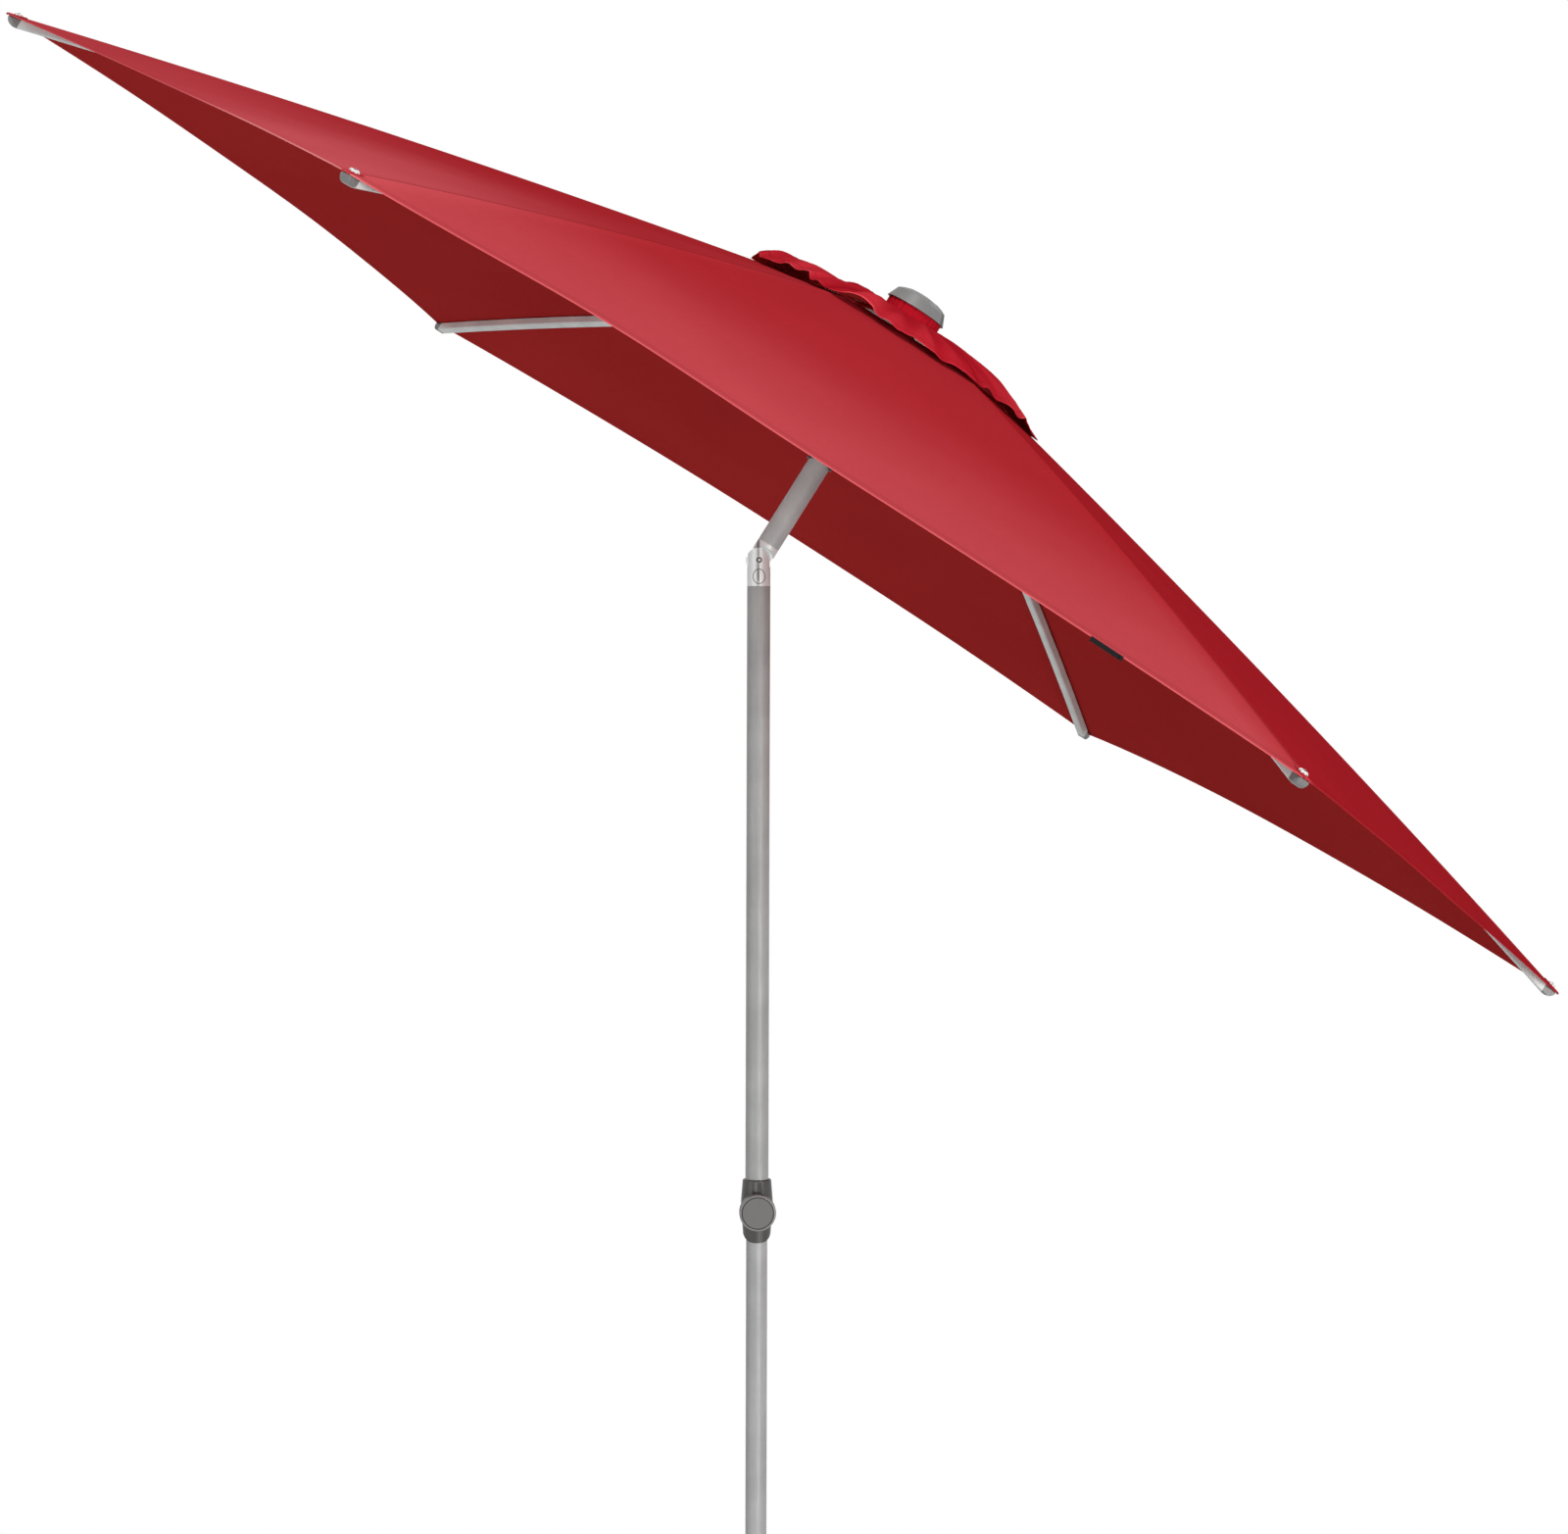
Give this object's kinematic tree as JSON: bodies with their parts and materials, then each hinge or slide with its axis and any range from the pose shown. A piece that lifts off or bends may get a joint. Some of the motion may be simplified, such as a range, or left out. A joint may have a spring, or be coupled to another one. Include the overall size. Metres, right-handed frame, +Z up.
{
  "type": "patio umbrella",
  "caption": "Hexagonal tilting parasol with a vented red canopy, telescopic grey pole with a clamp collar, push-up runner and a round weighted stand.",
  "frame": {"origin": "on the ground under the centre of the pole, at the underside of the stand's centre pad", "axes": "+Z up along the lower pole; the canopy leans towards +X; the tilt pin lies along Y, with the clamp knob and tilt button facing -Y"},
  "size_m": [2.5499, 2.6032, 2.8666],
  "materials": {
    "cloth": "matte",
    "rib_metal": "satin",
    "pole_metal": "satin",
    "knuckle_metal": "polished",
    "collar_plastic": "satin",
    "cap_plastic": "satin",
    "fitting_plastic": "satin",
    "steel": "satin",
    "stand_iron": "matte",
    "stand_steel": "satin",
    "rubber": "matte",
    "label_cloth": "matte"
  },
  "bodies": {
    "stand": {"base_disc": "stand_iron", "base_feet": "rubber", "base_bolt": "steel", "stand_tube": "stand_steel"},
    "stand_pad": {"stand_pad": "steel"},
    "stand_knob": {"stand_knob": "collar_plastic", "stand_screw": "steel"},
    "sleeve": {"stand_sleeve": "fitting_plastic"},
    "lower_pole": {"lower_pole": "pole_metal", "lower_pole_guide": "fitting_plastic", "lower_pole_foot": "fitting_plastic"},
    "upper_pole": {"upper_pole": "pole_metal", "clamp_collar": "collar_plastic", "tilt_base": "knuckle_metal", "tilt_pin": "steel", "button_spring": "steel"},
    "clamp_pad": {"clamp_pad": "steel"},
    "clamp_knob": {"clamp_knob": "collar_plastic", "clamp_screw": "steel"},
    "tilt_button": {"tilt_button": "knuckle_metal"},
    "head": {"tilt_head": "knuckle_metal", "head_pole": "pole_metal", "crown_hub": "fitting_plastic", "rib_pins": "steel", "crown_cap": "cap_plastic", "hood_neck": "cloth"},
    "runner": {"runner": "fitting_plastic", "strut_pins": "steel"},
    "runner_catch": {"runner_catch": "fitting_plastic"},
    "rib_0": {"rib_0": "rib_metal", "rib_fittings_0": "fitting_plastic", "canopy_gore_0": "cloth", "hood_gore_0": "cloth"},
    "strut_0": {"strut_0": "rib_metal"},
    "rib_1": {"rib_1": "rib_metal", "rib_fittings_1": "fitting_plastic", "canopy_gore_1": "cloth", "hood_gore_1": "cloth"},
    "strut_1": {"strut_1": "rib_metal"},
    "rib_2": {"rib_2": "rib_metal", "rib_fittings_2": "fitting_plastic", "canopy_gore_2": "cloth", "hood_gore_2": "cloth"},
    "strut_2": {"strut_2": "rib_metal"},
    "rib_3": {"rib_3": "rib_metal", "rib_fittings_3": "fitting_plastic", "canopy_gore_3": "cloth", "hood_gore_3": "cloth"},
    "strut_3": {"strut_3": "rib_metal"},
    "rib_4": {"rib_4": "rib_metal", "rib_fittings_4": "fitting_plastic", "canopy_gore_4": "cloth", "hood_gore_4": "cloth"},
    "strut_4": {"strut_4": "rib_metal"},
    "rib_5": {"rib_5": "rib_metal", "rib_fittings_5": "fitting_plastic", "canopy_gore_5": "cloth", "hood_gore_5": "cloth", "edge_label": "label_cloth"},
    "strut_5": {"strut_5": "rib_metal"}
  },
  "joints": [
    {"name": "stand_pad_slide", "type": "slide", "parent": "stand", "child": "stand_pad", "axis": [0, -1, 0], "range_m": [0, 0.0025]},
    {"name": "stand_knob_turn", "type": "hinge", "parent": "stand_pad", "child": "stand_knob", "pos_m": [0, -0.041, 0.262], "axis": [0, -1, 0], "range_deg": [0, 720]},
    {"name": "pole_swivel", "type": "hinge", "parent": "stand", "child": "sleeve", "pos_m": [0, 0, 0.2], "axis": [0, 0, 1], "continuous": true},
    {"name": "pole_lift", "type": "slide", "parent": "sleeve", "child": "lower_pole", "axis": [0, 0, 1], "range_m": [0, 0.28]},
    {"name": "height_slide", "type": "slide", "parent": "lower_pole", "child": "upper_pole", "axis": [0, 0, 1], "range_m": [-0.5, 0.16]},
    {"name": "clamp_pad_slide", "type": "slide", "parent": "upper_pole", "child": "clamp_pad", "axis": [0, -1, 0], "range_m": [0, 0.0025]},
    {"name": "clamp_knob_turn", "type": "hinge", "parent": "clamp_pad", "child": "clamp_knob", "pos_m": [0, -0.031, 0.919], "axis": [0, -1, 0], "range_deg": [0, 720]},
    {"name": "tilt_button_press", "type": "slide", "parent": "upper_pole", "child": "tilt_button", "axis": [0, 1, 0], "range_m": [0, 0.003], "stiffness_N_per_m": 1500, "springref_m": -0.002, "deforming": ["button_spring"]},
    {"name": "tilt", "type": "hinge", "parent": "upper_pole", "child": "head", "pos_m": [0, 0, 1.986], "axis": [0, 1, 0], "range_deg": [-32, 0]},
    {"name": "runner_slide", "type": "slide", "parent": "head", "child": "runner", "axis": [0.5299, 0, 0.848], "range_m": [-0.155, 0]},
    {"name": "runner_catch_pull", "type": "slide", "parent": "runner", "child": "runner_catch", "axis": [0, 1, 0], "range_m": [0, 0.006], "stiffness_N_per_m": 800, "springref_m": -0.003},
    {"name": "rib_hinge_0", "type": "hinge", "parent": "head", "child": "rib_0", "pos_m": [0.26959, 0, 2.34572], "axis": [0, 1, 0], "range_deg": [0, 9.15], "deforming": ["canopy_gore_0", "hood_gore_0"]},
    {"name": "strut_hinge_0", "type": "hinge", "parent": "rib_0", "child": "strut_0", "pos_m": [0.60103, 0, 1.99487], "axis": [0, 1, 0], "range_deg": [-19.52, 0]},
    {"name": "rib_hinge_1", "type": "hinge", "parent": "head", "child": "rib_1", "pos_m": [0.25347, 0.03291, 2.35579], "axis": [-0.7344, 0.5, 0.4589], "range_deg": [0, 9.15], "deforming": ["canopy_gore_1", "hood_gore_1"]},
    {"name": "strut_hinge_1", "type": "hinge", "parent": "rib_1", "child": "strut_1", "pos_m": [0.38689, 0.43734, 2.12867], "axis": [-0.7344, 0.5, 0.4589], "range_deg": [-19.52, 0]},
    {"name": "rib_hinge_2", "type": "hinge", "parent": "head", "child": "rib_2", "pos_m": [0.22125, 0.03291, 2.37592], "axis": [-0.7344, -0.5, 0.4589], "range_deg": [0, 9.15], "deforming": ["canopy_gore_2", "hood_gore_2"]},
    {"name": "strut_hinge_2", "type": "hinge", "parent": "rib_2", "child": "strut_2", "pos_m": [-0.04137, 0.43734, 2.39628], "axis": [-0.7344, -0.5, 0.4589], "range_deg": [-19.52, 0]},
    {"name": "rib_hinge_3", "type": "hinge", "parent": "head", "child": "rib_3", "pos_m": [0.20513, 0, 2.38599], "axis": [0, -1, 0], "range_deg": [0, 9.15], "deforming": ["canopy_gore_3", "hood_gore_3"]},
    {"name": "strut_hinge_3", "type": "hinge", "parent": "rib_3", "child": "strut_3", "pos_m": [-0.2555, 0, 2.53009], "axis": [0, -1, 0], "range_deg": [-19.52, 0]},
    {"name": "rib_hinge_4", "type": "hinge", "parent": "head", "child": "rib_4", "pos_m": [0.22125, -0.03291, 2.37592], "axis": [0.7344, -0.5, -0.4589], "range_deg": [0, 9.15], "deforming": ["canopy_gore_4", "hood_gore_4"]},
    {"name": "strut_hinge_4", "type": "hinge", "parent": "rib_4", "child": "strut_4", "pos_m": [-0.04137, -0.43734, 2.39628], "axis": [0.7344, -0.5, -0.4589], "range_deg": [-19.52, 0]},
    {"name": "rib_hinge_5", "type": "hinge", "parent": "head", "child": "rib_5", "pos_m": [0.25347, -0.03291, 2.35579], "axis": [0.7344, 0.5, -0.4589], "range_deg": [0, 9.15], "deforming": ["canopy_gore_5", "hood_gore_5"]},
    {"name": "strut_hinge_5", "type": "hinge", "parent": "rib_5", "child": "strut_5", "pos_m": [0.38689, -0.43734, 2.12867], "axis": [0.7344, 0.5, -0.4589], "range_deg": [-19.52, 0]}
  ],
  "couplings": [
    {"joint": "stand_knob_turn", "follows": "stand_pad_slide", "rad_per_m": 5026.5},
    {"joint": "clamp_knob_turn", "follows": "clamp_pad_slide", "rad_per_m": 5026.5},
    {"joint": "rib_hinge_0", "follows": "runner_slide", "rad_per_m": -1.0281},
    {"joint": "strut_hinge_0", "follows": "runner_slide", "rad_per_m": 2.1955},
    {"joint": "rib_hinge_1", "follows": "runner_slide", "rad_per_m": -1.0281},
    {"joint": "strut_hinge_1", "follows": "runner_slide", "rad_per_m": 2.1955},
    {"joint": "rib_hinge_2", "follows": "runner_slide", "rad_per_m": -1.0281},
    {"joint": "strut_hinge_2", "follows": "runner_slide", "rad_per_m": 2.1955},
    {"joint": "rib_hinge_3", "follows": "runner_slide", "rad_per_m": -1.0281},
    {"joint": "strut_hinge_3", "follows": "runner_slide", "rad_per_m": 2.1955},
    {"joint": "rib_hinge_4", "follows": "runner_slide", "rad_per_m": -1.0281},
    {"joint": "strut_hinge_4", "follows": "runner_slide", "rad_per_m": 2.1955},
    {"joint": "rib_hinge_5", "follows": "runner_slide", "rad_per_m": -1.0281},
    {"joint": "strut_hinge_5", "follows": "runner_slide", "rad_per_m": 2.1955}
  ]
}
